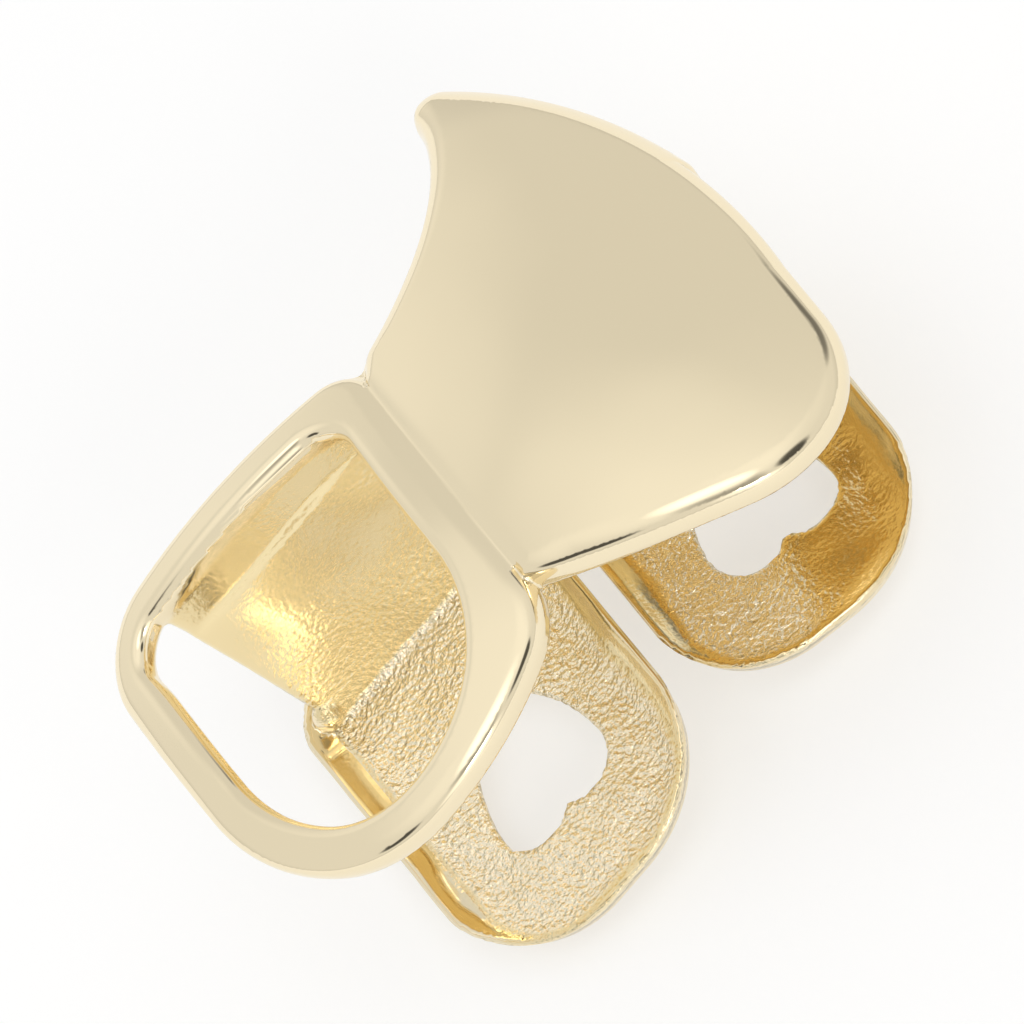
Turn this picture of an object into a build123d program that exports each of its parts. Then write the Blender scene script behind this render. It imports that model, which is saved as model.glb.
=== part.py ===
from build123d import *
import os
from math import sqrt

# A cast metal cover for two neighbouring upper teeth, worn as jewellery. It is one piece:
# a cap with an open, framed face and a cap whose solid face runs out into a fang, joined at
# a seam. Behind each face a wall crosses the biting edge and carries a back plate with a
# heart-shaped hole. It lies on its two back plates, faces up.
#
# Each cap is drawn in its own frame: x runs from the seam outwards, y towards the biting
# edge, z out of the face. The seam starts at the origin and runs down towards the gum.
# An inset is measured inwards from the cap's outer side, and a share says of what it is one.

# Driving dimensions in millimetres and degrees
open_lean = 9.6
fang_lean = 8.4
face_wall = 0.8
face_edge_round = 0.26

# Open cap: its frame and window
open_width = 9.0
open_biting_edge = 0.88
open_gum_depth = 10.05
open_peak_share = 0.522
open_shoulder = 5.2
open_seam_end = 7.0
open_seam_corner = 1.0
open_side_corner = 2.1
open_face_radius = 14.0
window_border = 1.12
window_corner = 0.9
window_shoulder = 5.0

# Fang cap: its face, whose flanks would meet in a sharp point before it is rounded
fang_width = 8.92
fang_point_share = 0.49
fang_point_height = 7.65
fang_point_round = 0.62
fang_flank_start = 0.4
fang_flank_height = 0.7
fang_flank_round = 0.6
fang_shoulder = 4.5
fang_gum_depth = 9.6
fang_gum_corner = 3.3
fang_seam_end = 7.2
fang_gum_bow = 0.75
fang_face_radius = 11.0
fang_root_depth = 6.2
fang_tip_depth = 1.1

# Arcs of the fang cap's outline, as shares across (of the point's place or the cap's width)
# and along (of the point's height)
front_flank_across = 0.663
front_flank_along = 0.289
back_flank_across = 0.886
back_flank_along = 0.292
gum_bow_across = 0.42
crown_across = 0.434

# Hidden solid behind the fang: distance along from the wall to the point, middle and half
# width as shares of the cap's width, half depth as a share of the root's
fang_sections = [
    (0.0, 0.5, 0.62, 1.0),
    (0.43, 0.55, 0.42, 0.5),
]
fang_tip_along = 0.85

# Both faces are crowned from biting edge to gum as well
crown_radius = 28.0
crown_height = -4.5
crown_half_turn = 80.0

# Biting-edge wall
wall_outer = 0.45
wall_inner = -0.35
ledge_depth = 1.3
ledge_step = 0.15
wall_foot = -1.05
open_wall_inset = 2.0
fang_wall_inset = 0.6
back_corner = 1.1
crease_round = 0.3

# Back plates, with the rounding of their gum corners at the seam side and the outer side as
# shares of their width
plate_depth = 6.75
plate_thickness = 0.6
lip_height = 0.5
lip_width = 0.45
plate_top = -0.2
plate_top_corner = 1.2
plate_edge_round = 0.25
open_plate_start = 0.82
open_plate_inset = 1.5
open_plate_drop = 10.05
open_corner_shares = (0.43, 0.43)
fang_plate_start = 1.95
fang_plate_inset = 0.6
fang_plate_drop = 8.72
fang_corner_shares = (0.38, 0.48)

# Heart-shaped holes in the middle of the plates
heart_width = 3.15
heart_length = 4.2
heart_dip = 0.4
heart_lobe_across = 0.56
heart_widest_along = 0.24
heart_flank_across = 0.72
heart_flank_along = 0.62
open_heart_bottom = 7.55
fang_heart_bottom = 6.45

# How far cuts and blanks run past what they shape, and how near the seam an edge counts as on it
spare = 0.6
beyond = 20.0
seam_slack = 0.02
node_name = "tooth_cover"


def face_rise(radius, middle):
    """Height of a face's crown above the seam, for a face that starts at the seam."""
    return radius - sqrt(radius * radius - middle * middle)


def under_crown(radius, middle, depth):
    """Everything behind a crowned skin that lies this deep below the face."""
    rise = face_rise(radius, middle)
    arc_radius = crown_radius - depth
    axis_height = rise - radius
    low = -open_gum_depth - spare
    high = fang_point_height + spare
    foot = axis_height + spare

    def corner(y):
        drop = arc_radius - sqrt(arc_radius * arc_radius - (y - crown_height) ** 2)
        return (y, rise - depth - drop)

    with BuildSketch(Plane.YZ.offset(middle)) as profile:
        with BuildLine():
            ThreePointArc(corner(low), corner(crown_height), corner(high))
            Polyline(corner(high), (high, foot), (low, foot), corner(low))
        make_face()
    axis = Axis((middle, 0, axis_height), (0, 1, 0))
    section = profile.sketch.rotate(axis, -crown_half_turn)
    return revolve(section, axis=axis, revolution_arc=2 * crown_half_turn)


def slab(sketch, bottom, top):
    """Outline raised between two heights."""
    return extrude(Plane.XY.offset(bottom) * sketch, amount=top - bottom)


def arch(left, right, middle, side_shoulder, seam_shoulder, gum):
    """Round gum end: a quarter of an oval on each side of its lowest point."""
    EllipticalCenterArc((middle, -side_shoulder), right - middle, gum - side_shoulder, 270, arc_size=90)
    EllipticalCenterArc((middle, -seam_shoulder), middle - left, gum - seam_shoulder, 180, arc_size=90)


def open_outline():
    """Outline of the open cap's face."""
    top = open_biting_edge
    right = open_width
    with BuildSketch() as outline:
        with BuildLine():
            Line((0, -open_seam_end), (0, top - open_seam_corner))
            RadiusArc((0, top - open_seam_corner), (open_seam_corner, top), open_seam_corner)
            Line((open_seam_corner, top), (right - open_side_corner, top))
            RadiusArc((right - open_side_corner, top), (right, top - open_side_corner), open_side_corner)
            Line((right, top - open_side_corner), (right, -open_shoulder))
            arch(0, right, open_peak_share * open_width, open_shoulder, open_seam_end, open_gum_depth)
        make_face()
    return outline.sketch


def window_outline():
    """Outline of the window in the open cap's face."""
    left = window_border
    right = open_width - window_border
    top = open_biting_edge - window_border
    gum = open_gum_depth - window_border
    with BuildSketch() as outline:
        with BuildLine():
            Line((left, -window_shoulder), (left, top - window_corner))
            RadiusArc((left, top - window_corner), (left + window_corner, top), window_corner)
            Line((left + window_corner, top), (right - window_corner, top))
            RadiusArc((right - window_corner, top), (right, top - window_corner), window_corner)
            Line((right, top - window_corner), (right, -window_shoulder))
            arch(left, right, open_peak_share * open_width, window_shoulder, window_shoulder, gum)
        make_face()
    return outline.sketch


def fang_outline():
    """Outline of the fang cap's face: flanks that meet in the point, and a bowed gum edge."""
    seam_end = (0, -fang_seam_end)
    start = (fang_flank_start, fang_flank_height)
    point = (fang_point_share * fang_width, fang_point_height)
    front_middle = (front_flank_across * point[0], front_flank_along * fang_point_height)
    back_middle = (back_flank_across * fang_width, back_flank_along * fang_point_height)
    shoulder = (fang_width, -fang_shoulder)
    corner = (fang_width, -fang_gum_depth)
    gum_middle = (gum_bow_across * fang_width, -(fang_gum_depth + fang_seam_end) / 2 - fang_gum_bow)
    with BuildSketch() as outline:
        with BuildLine():
            Polyline(seam_end, (0, 0), start)
            ThreePointArc(start, front_middle, point)
            ThreePointArc(point, back_middle, shoulder)
            Line(shoulder, corner)
            ThreePointArc(corner, gum_middle, seam_end)
        make_face()
        rounds = [(start, fang_flank_round), (point, fang_point_round), (corner, fang_gum_corner)]
        for place, radius in rounds:
            fillet(outline.vertices().sort_by_distance(place)[0], radius)
    return outline.sketch


def heart_outline(middle, bottom):
    """Heart with two round lobes towards the gum and its point towards the biting edge."""
    half = heart_width / 2
    point = (middle, heart_length - bottom)
    dip = (middle, heart_dip - bottom)
    with BuildSketch() as outline:
        for side in (-half, half):
            lobe = (middle + heart_lobe_across * side, -bottom)
            widest = (middle + side, heart_widest_along * heart_length - bottom)
            flank = (middle + heart_flank_across * side, heart_flank_along * heart_length - bottom)
            with BuildLine():
                ThreePointArc(dip, lobe, widest)
                ThreePointArc(widest, flank, point)
                Line(point, dip)
            make_face()
    return outline.sketch


def plate_outline(start, end, drop, corner_shares, inset):
    """Back plate seen from behind, rounder at the gum than at the biting edge."""
    left = start + inset
    right = end - inset
    top = plate_top - inset
    bottom = inset - drop
    seam_corner, side_corner = (share * (end - start) - inset for share in corner_shares)
    top_corner = plate_top_corner - inset
    with BuildSketch() as outline:
        with BuildLine():
            FilletPolyline((left, bottom), (right, bottom), (right, top), (left, top), close=True,
                           radius=[seam_corner, side_corner, top_corner, top_corner])
        make_face()
    return outline.sketch


def back_plate(start, end, drop, corner_shares, heart_bottom):
    """Shallow tray with a raised lip round it and its heart cut through."""
    floor = plate_thickness - plate_depth
    tray = slab(plate_outline(start, end, drop, corner_shares, 0), -plate_depth, floor + lip_height)
    ends = tray.faces().sort_by(Axis.Z)
    tray = fillet(ends[0].edges() + ends[-1].edges(), plate_edge_round)
    tray -= slab(plate_outline(start, end, drop, corner_shares, lip_width), floor, 0)
    return tray - slab(heart_outline((start + end) / 2, heart_bottom), -beyond, beyond)


def biting_wall(reach, radius, middle):
    """Wall across the biting edge, with a ledge inside, from the face to the back plate."""
    back = -plate_depth
    floor = back + plate_thickness
    top = face_rise(radius, middle)
    step = wall_inner - ledge_step
    crease = floor + crease_round
    with BuildSketch(Plane.YZ) as side:
        with BuildLine():
            Polyline((wall_inner, top), (wall_outer, top), (wall_outer, back + back_corner))
            RadiusArc((wall_outer, back + back_corner), (wall_outer - back_corner, back), back_corner)
            Polyline((wall_outer - back_corner, back), (wall_foot - crease_round, back),
                     (wall_foot - crease_round, floor))
            RadiusArc((wall_foot - crease_round, floor), (wall_foot, crease), -crease_round)
            Polyline((wall_foot, crease), (step, -ledge_depth), (wall_inner, -ledge_depth),
                     (wall_inner, top))
        make_face()
    wall = extrude(side.sketch, amount=reach)
    return wall & under_crown(radius, middle, face_wall / 2)


def rounded_face(solid):
    """Face block with its outer edges rounded, apart from the one along the seam."""
    skin = solid.faces().sort_by(Axis.Z)[-1]
    rims = [edge for edge in skin.edges() if edge.center().X > seam_slack]
    return fillet(rims, face_edge_round)


def open_cap():
    """Cap with a framed window in its face."""
    middle = open_width / 2
    block = under_crown(open_face_radius, middle, 0) & slab(open_outline(), -plate_depth, beyond)
    block -= slab(window_outline(), -beyond, beyond)
    front = rounded_face(block) - under_crown(open_face_radius, middle, face_wall)
    wall = biting_wall(open_width - open_wall_inset, open_face_radius, middle)
    plate = back_plate(open_plate_start, open_width - open_plate_inset, open_plate_drop,
                       open_corner_shares, open_heart_bottom)
    return front + wall + plate


def fang_body():
    """Solid fang behind the face: oval sections that shrink and come forward to the point."""
    climb = fang_point_height - wall_inner
    stations = [
        (wall_inner + along * climb, place * fang_width, half * fang_width, 0, depth * fang_root_depth)
        for along, place, half, depth in fang_sections
    ]
    tip_middle = fang_point_share * fang_width + fang_point_round
    stations.append((wall_inner + fang_tip_along * climb, tip_middle, 2 * fang_point_round,
                     -fang_tip_depth, fang_tip_depth))
    ovals = []
    for y, x, half_width, height, half_depth in stations:
        with BuildSketch(Plane.XZ.offset(-y)) as oval:
            with Locations((x, height)):
                Ellipse(half_width, half_depth)
        ovals.append(oval.sketch.face())
    return loft(ovals)


def fang_cap():
    """Cap with a solid face that runs out into a fang."""
    middle = crown_across * fang_width
    block = under_crown(fang_face_radius, middle, 0) & slab(fang_outline(), -plate_depth, beyond)
    block = rounded_face(block)
    front = block - under_crown(fang_face_radius, middle, face_wall)
    front += block & fang_body()
    wall = biting_wall(fang_width - fang_wall_inset, fang_face_radius, middle)
    plate = back_plate(fang_plate_start, fang_width - fang_plate_inset, fang_plate_drop,
                       fang_corner_shares, fang_heart_bottom)
    return front + wall + plate


def tooth_cover():
    """Both caps turned about the seam to follow the dental arch, joined and set down."""
    left = mirror(open_cap(), about=Plane.YZ).rotate(Axis.Y, -open_lean)
    right = fang_cap().rotate(Axis.Y, fang_lean)
    cover = left + right
    box = cover.bounding_box()
    return cover.moved(Location((-box.center().X, -box.center().Y, -box.min.Z)))


cover = tooth_cover()
os.makedirs("parts", exist_ok=True)
cover.label = node_name
export_step(cover, f"parts/{node_name}.step")
size = cover.bounding_box().size
print(f"{node_name}: {cover.volume:.1f} mm3, {size.X:.2f} x {size.Y:.2f} x {size.Z:.2f} mm")
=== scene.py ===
"""Looks of a cast, gold-plated cover for two upper teeth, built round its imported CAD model.

The casting is drawn as a signed distance in millimetres, negative inside the metal, so that
every edge is rounded and every join is filleted as in a real casting. The distance is meshed,
and each vertex is then moved on to the exact surface, which keeps the polished faces true.
"""

import logging
from dataclasses import dataclass, field
from enum import Enum
from math import atan2, cos, hypot, pi, radians, sin, sqrt, tan

import bpy
import numpy as np
from mathutils import Matrix, Vector

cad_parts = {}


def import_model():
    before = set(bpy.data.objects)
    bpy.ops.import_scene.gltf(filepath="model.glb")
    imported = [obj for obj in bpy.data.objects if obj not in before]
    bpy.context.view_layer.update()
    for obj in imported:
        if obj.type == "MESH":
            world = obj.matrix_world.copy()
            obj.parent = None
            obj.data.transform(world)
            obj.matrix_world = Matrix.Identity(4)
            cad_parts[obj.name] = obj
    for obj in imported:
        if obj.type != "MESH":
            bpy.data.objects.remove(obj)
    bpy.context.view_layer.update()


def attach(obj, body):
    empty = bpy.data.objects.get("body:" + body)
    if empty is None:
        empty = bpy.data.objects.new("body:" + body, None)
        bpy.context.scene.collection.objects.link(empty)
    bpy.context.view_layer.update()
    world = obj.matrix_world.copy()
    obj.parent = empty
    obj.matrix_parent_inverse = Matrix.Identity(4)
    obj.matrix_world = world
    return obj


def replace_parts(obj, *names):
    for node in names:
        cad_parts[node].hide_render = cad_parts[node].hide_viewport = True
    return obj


Array = np.ndarray
Point = tuple[float, float]
Triple = tuple[float, float, float]
Colour = tuple[float, float, float, float]
Tree = bpy.types.NodeTree
Socket = bpy.types.NodeSocket
Given = Socket | bpy.types.Material | Vector | Colour | float | str

MM = 0.001
BODY = "root"
NODE = "tooth_cover"
CAST = "cast"
GRAIN = "grain"
# One row for each wave of a swell: its height, its run along x and y, and its share of the phase
SWELLS = ((0.45, 0.8, 0.6, 1.0), (0.32, 1.3, -0.9, 2.1), (0.23, 0.5, 1.7, 3.7))
TINY = 1e-9
FAR = 1e9
LOG = logging.getLogger("tooth_cover")


def rounded_meet(a: Array, b: Array, radius: float) -> Array:
    """Common part of two solids, with the edge between them rounded.

    Args:
        a: Signed distance of the first solid.
        b: Signed distance of the second solid.
        radius: Radius of the rounded edge.

    Returns:
        Signed distance of the common part.
    """
    over = np.hypot(np.maximum(a + radius, 0), np.maximum(b + radius, 0))
    return np.minimum(np.maximum(a, b), -radius) + over


def filleted_join(a: Array, b: Array, radius: float) -> Array:
    """Two solids joined, with a fillet in the corner between them.

    Args:
        a: Signed distance of the first solid.
        b: Signed distance of the second solid.
        radius: Radius of the fillet.

    Returns:
        Signed distance of the joined solid.
    """
    return -rounded_meet(-a, -b, radius)


def bevelled_meet(a: Array, b: Array, bevel: Array, radius: float) -> Array:
    """Common part of two solids, with the edge between them bevelled.

    Args:
        a: Signed distance of the first solid.
        b: Signed distance of the second solid.
        bevel: How much of each solid's side the bevel takes.
        radius: Radius of the bevel's own edges.

    Returns:
        Signed distance of the common part.
    """
    cut = (a + b + bevel) / sqrt(2)
    return rounded_meet(rounded_meet(a, cut, radius), b, radius)


def eased(values: Array, low: float, high: float) -> Array:
    """Smooth step from 0 at low to 1 at high.

    Args:
        values: Numbers to grade.
        low: Value that gives 0.
        high: Value that gives 1.

    Returns:
        The graded numbers, from 0 to 1.
    """
    share = np.clip((values - low) / (high - low), 0, 1)
    return share * share * (3 - 2 * share)


def waves(x: Array, y: Array, length: float, phase: float) -> Array:
    """Slow, uneven swell of a hand-made wax, between about -1 and 1.

    Args:
        x: First coordinate.
        y: Second coordinate.
        length: Wave length of the swell.
        phase: Shift that makes one swell differ from another.

    Returns:
        Height of the swell at each point.
    """
    turn = 2 * pi / length
    return sum(
        height * np.sin(turn * (along_x * x + along_y * y) + shift * phase)
        for height, along_x, along_y, shift in SWELLS
    )


def feed(tree: Tree, socket: Socket, given: Given) -> None:
    """Gives an input what it reads: another node's output, or a value of its own.

    Args:
        tree: Tree that the nodes stand in.
        socket: The input.
        given: The output or the value.
    """
    if isinstance(given, Socket):
        tree.links.new(given, socket)
    else:
        socket.default_value = given


def add_node(
    tree: Tree, kind: str, inputs: dict[str | int, Given] | None = None, **settings: str
) -> bpy.types.Node:
    """Adds a node and gives its inputs what they read.

    Args:
        tree: Tree that the node stands in.
        kind: Type of the node.
        inputs: What inputs read, by their names or numbers. The others keep their own values.
        settings: The node's own settings.

    Returns:
        The node.
    """
    node = tree.nodes.new(kind)
    for name, value in settings.items():
        setattr(node, name, value)
    for key, given in (inputs or {}).items():
        feed(tree, node.inputs[key], given)
    return node


def add_math(tree: Tree, kind: str, a: Given, b: Given) -> Socket:
    """Adds a math node on two inputs.

    Args:
        tree: Tree that the node stands in.
        kind: Name of the operation.
        a: First input.
        b: Second input.

    Returns:
        The node's output.
    """
    return add_node(tree, "ShaderNodeMath", {0: a, 1: b}, operation=kind).outputs[0]


def placed(name: str, data: bpy.types.ID) -> bpy.types.Object:
    """Makes an object of some data and puts it in the scene.

    Args:
        name: Name of the object.
        data: Its mesh, light or camera.

    Returns:
        The object.
    """
    made = bpy.data.objects.new(name, data)
    bpy.context.collection.objects.link(made)
    return made


@dataclass(frozen=True)
class Straight:
    """Straight piece of an outline."""

    start: Point
    end: Point

    def length(self) -> float:
        """Length of the piece."""
        return hypot(self.end[0] - self.start[0], self.end[1] - self.start[1])

    def at(self, along: float) -> Triple:
        """x, y and heading in radians at a length from the start of the piece."""
        heading = atan2(self.end[1] - self.start[1], self.end[0] - self.start[0])
        return self.start[0] + along * cos(heading), self.start[1] + along * sin(heading), heading

    def trimmed(self, off_start: float, off_end: float) -> "Straight":
        """The piece with a length taken off each end."""
        return Straight(self.at(off_start)[:2], self.at(self.length() - off_end)[:2])

    def reach(self, x: Array, y: Array) -> tuple[Array, Array]:
        """Distance to the piece, and a number that is negative on its left.

        Args:
            x: First coordinate.
            y: Second coordinate.

        Returns:
            The plain distance and the side.
        """
        across, along = self.end[0] - self.start[0], self.end[1] - self.start[1]
        px, py = x - self.start[0], y - self.start[1]
        share = np.clip((px * across + py * along) / (across**2 + along**2), 0, 1)
        return np.hypot(px - share * across, py - share * along), py * -across + px * along


@dataclass(frozen=True)
class Arc:
    """Piece of a circle in an outline. A positive sweep turns left."""

    centre: Point
    radius: float
    first: float
    sweep: float

    def length(self) -> float:
        """Length of the piece."""
        return self.radius * abs(self.sweep)

    def at(self, along: float) -> Triple:
        """Place and heading at a length along the piece.

        Args:
            along: Length from the start.

        Returns:
            x, y and the heading in radians.
        """
        turn = 1 if self.sweep > 0 else -1
        angle = self.first + turn * along / self.radius
        x = self.centre[0] + self.radius * cos(angle)
        y = self.centre[1] + self.radius * sin(angle)
        return x, y, angle + turn * pi / 2

    def trimmed(self, off_start: float, off_end: float) -> "Arc":
        """The piece with a length taken off each end.

        Args:
            off_start: Length taken off the start.
            off_end: Length taken off the end.

        Returns:
            The shorter piece.
        """
        turn = (1 if self.sweep > 0 else -1) / self.radius
        sweep = self.sweep - turn * (off_start + off_end)
        return Arc(self.centre, self.radius, self.first + turn * off_start, sweep)

    def reach(self, x: Array, y: Array) -> tuple[Array, Array]:
        """Distance to the piece, and a number that is negative on its left.

        Args:
            x: First coordinate.
            y: Second coordinate.

        Returns:
            The plain distance and the side.
        """
        px, py = x - self.centre[0], y - self.centre[1]
        out = np.hypot(px, py) - self.radius
        turn = 1 if self.sweep > 0 else -1
        angle = np.mod(turn * (np.arctan2(py, px) - self.first), 2 * pi)
        ends = [self.at(0), self.at(self.length())]
        near_end = np.minimum(*[np.hypot(x - e[0], y - e[1]) for e in ends])
        return np.where(angle <= abs(self.sweep), np.abs(out), near_end), turn * out


def arc_through(start: Point, middle: Point, end: Point) -> Arc:
    """Arc from one point through another to a third.

    Args:
        start: First point.
        middle: Point on the way.
        end: Last point.

    Returns:
        The arc.
    """
    (ax, ay), (bx, by), (cx, cy) = start, middle, end
    twice = 2 * (ax * (by - cy) + bx * (cy - ay) + cx * (ay - by))
    a2, b2, c2 = ax * ax + ay * ay, bx * bx + by * by, cx * cx + cy * cy
    x = (a2 * (by - cy) + b2 * (cy - ay) + c2 * (ay - by)) / twice
    y = (a2 * (cx - bx) + b2 * (ax - cx) + c2 * (bx - ax)) / twice
    first = atan2(ay - y, ax - x)
    last = atan2(cy - y, cx - x)
    left = (bx - ax) * (cy - by) - (by - ay) * (cx - bx) > 0
    sweep = (last - first) % (2 * pi) if left else -((first - last) % (2 * pi))
    return Arc((x, y), hypot(ax - x, ay - y), first, sweep)


def oval_quarter(low: Point, across: float, drop: float, tight: float, rising: bool) -> list[Arc]:
    """Quarter of an oval as two arcs that run into each other, beside its lowest point.

    Args:
        low: Lowest point of the oval.
        across: Half width of the oval.
        drop: Half height of the oval.
        tight: Smaller of the two radii, at the end of the oval's longer axis.
        rising: True for the right-hand quarter, which climbs away from the lowest point.

    Returns:
        The two arcs in counter-clockwise order.
    """
    if across > drop:
        beside, below = tight, (across**2 - 2 * across * tight + drop**2) / (2 * (drop - tight))
    else:
        beside, below = (across**2 + drop**2 - 2 * drop * tight) / (2 * (across - tight)), tight
    hand = 1 if rising else -1
    lower = (low[0], low[1] + below)
    upper = (low[0] + hand * (across - beside), low[1] + drop)
    sign = 1 if below > beside else -1
    lean = atan2(sign * (upper[1] - lower[1]), sign * (upper[0] - lower[0]))
    if rising:
        swept = lean + pi / 2
        return [Arc(lower, below, -pi / 2, swept), Arc(upper, beside, lean, pi / 2 - swept)]
    swept = -pi / 2 - lean
    return [Arc(upper, beside, pi, pi / 2 - swept), Arc(lower, below, lean, swept)]


class Outline:
    """Closed outline of straights and arcs, drawn counter-clockwise."""

    def __init__(self, pieces: list[Straight | Arc]) -> None:
        """Keeps the pieces, which are in order, each starting where the one before it ends."""
        self.pieces = pieces

    def soften(self, corner: Point, radius: float, rounds: int = 12, nudge: float = 1e-6) -> None:
        """Rounds the corner nearest to a point with an arc that touches both sides.

        Args:
            corner: Point beside the corner.
            radius: Radius of the rounding.
            rounds: How often the arc's ends are corrected.
            nudge: Step in length that measures a correction.
        """
        count = len(self.pieces)
        gaps = [hypot(p.at(0)[0] - corner[0], p.at(0)[1] - corner[1]) for p in self.pieces]
        after = int(np.argmin(gaps))
        before = (after - 1) % count
        a, b = self.pieces[before], self.pieces[after]
        turn = (b.at(0)[2] - a.at(a.length())[2] + pi) % (2 * pi) - pi
        side = radius if turn > 0 else -radius
        cut = np.array([1.0, 1.0]) * radius * tan(abs(turn) / 2)

        def gap(lengths: Array) -> Array:
            """Gap between the arc's middles as seen from its two ends.

            Args:
                lengths: How far each end lies from the corner.

            Returns:
                The gap in x and in y.
            """
            ax, ay, ah = a.at(a.length() - lengths[0])
            bx, by, bh = b.at(lengths[1])
            gap_x = ax - side * sin(ah) - bx + side * sin(bh)
            gap_y = ay + side * cos(ah) - by - side * cos(bh)
            return np.array([gap_x, gap_y])

        for _ in range(rounds):
            miss = gap(cut)
            slope = np.array([(gap(cut + nudge * axis) - miss) / nudge for axis in np.eye(2)]).T
            cut = cut - np.linalg.solve(slope, miss)
        ax, ay, ah = a.at(a.length() - cut[0])
        bend = (b.at(cut[1])[2] - ah + pi) % (2 * pi) - pi
        centre = (ax - side * sin(ah), ay + side * cos(ah))
        start = ah - (pi / 2 if side > 0 else -pi / 2)
        self.pieces[before] = a.trimmed(0, cut[0])
        self.pieces[after] = self.pieces[after].trimmed(cut[1], 0)
        self.pieces.insert(after, Arc(centre, radius, start, bend))

    def distance(self, x: Array, y: Array) -> Array:
        """Signed distance to the outline, negative inside it.

        Args:
            x: First coordinate.
            y: Second coordinate.

        Returns:
            The distance at each point.
        """
        best = np.full(np.shape(x), FAR)
        signed = best.copy()
        for piece in self.pieces:
            away, side = piece.reach(x, y)
            nearer = away < best
            best = np.where(nearer, away, best)
            signed = np.where(nearer, np.where(side < 0, -away, away), signed)
        return signed


def polygon(*corners: Point) -> list[Straight]:
    """Straights that join points in order, without closing them.

    Args:
        corners: The points.

    Returns:
        One straight for each pair of neighbours.
    """
    return [Straight(a, b) for a, b in zip(corners, corners[1:])]


@dataclass(frozen=True)
class Skin:
    """Polished face, crowned across the tooth and, more gently, from biting edge to gum."""

    radius: float
    middle: float
    crown_radius: float = 28.0
    crown_height: float = -4.5
    wall: float = 0.8
    bevel_round: float = 0.2
    back_round: float = 0.24

    def depth(self, x: Array, y: Array, z: Array) -> Array:
        """Signed distance to the face, negative behind it.

        Args:
            x: Across the tooth, from the seam.
            y: Towards the biting edge.
            z: Out of the face.

        Returns:
            The distance at each point.
        """
        axis = -sqrt(self.radius**2 - self.middle**2)
        swing = np.hypot(x - self.middle, z - axis) + self.crown_radius - self.radius
        return np.hypot(swing, y - self.crown_height) - self.crown_radius

    def footprint(self, x: Array, y: Array, z: Array) -> tuple[Array, Array]:
        """Place on the face straight above a point, along the face's own normal.

        Args:
            x: Across the tooth, from the seam.
            y: Towards the biting edge.
            z: Out of the face.

        Returns:
            x and y on the face.
        """
        behind = self.depth(x, y, z)
        axis = -sqrt(self.radius**2 - self.middle**2)
        swing = np.hypot(x - self.middle, z - axis)
        spread = (swing - behind) / np.maximum(swing, 1)
        drawn = self.crown_radius / (self.crown_radius + behind)
        return self.middle + (x - self.middle) * spread, self.crown_height + (y - self.crown_height) * drawn

    def shell(self, outline: Array, behind: Array, bevel: Array) -> Array:
        """Signed distance of a shell of the face's thickness within an outline, its edges bevelled."""
        front = bevelled_meet(outline, behind, bevel, self.bevel_round)
        return rounded_meet(front, -behind - self.wall, self.back_round)


@dataclass(frozen=True)
class BitingWall:
    """Wall across the biting edge, from the face to the back plate, with a ledge inside."""

    reach: float
    outer: float = 0.45
    inner: float = -0.17
    foot: float = -1.05
    ledge: float = -1.45
    step: float = 0.06
    back: float = -6.75
    crease: float = -5.85
    back_round: float = 1.1
    side_round: float = 0.22
    under_face: float = 0.3
    ledge_soft: float = 0.16
    uneven: float = 0.05
    uneven_length: float = 4.2
    uneven_phase: float = 1.3

    def inner_face(self, x: Array, z: Array) -> Array:
        """Place of the inner face.

        Args:
            x: Across the tooth, from the seam.
            z: Out of the face.

        Returns:
            Its y at each point.
        """
        low = self.inner - self.step
        share = np.clip((self.ledge - z) / (self.ledge - self.crease), 0, 1)
        sloped = low + share * (self.foot - low)
        stepped = eased(z, self.ledge - self.ledge_soft, self.ledge + self.ledge_soft)
        uneven = self.uneven * waves(x, z, self.uneven_length, self.uneven_phase) * (1 - stepped)
        return sloped + stepped * (self.inner - sloped) + uneven

    def distance(self, x: Array, y: Array, z: Array, behind: Array, inset: float = 0.0) -> Array:
        """Signed distance of the wall.

        Args:
            x: Across the tooth, from the seam.
            y: Towards the biting edge.
            z: Out of the face.
            behind: Signed distance to the face.
            inset: How far the outer sides are moved in, the inner face staying.

        Returns:
            The distance at each point.
        """
        half = self.reach / 2
        span = np.abs(x - half) - half + inset
        shape = rounded_meet(y - self.outer + inset, self.back - z + inset, self.back_round)
        shape = np.maximum(shape, self.inner_face(x, z) - y)
        shape = rounded_meet(shape, span, self.side_round)
        return np.maximum(shape, behind + self.under_face)


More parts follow.
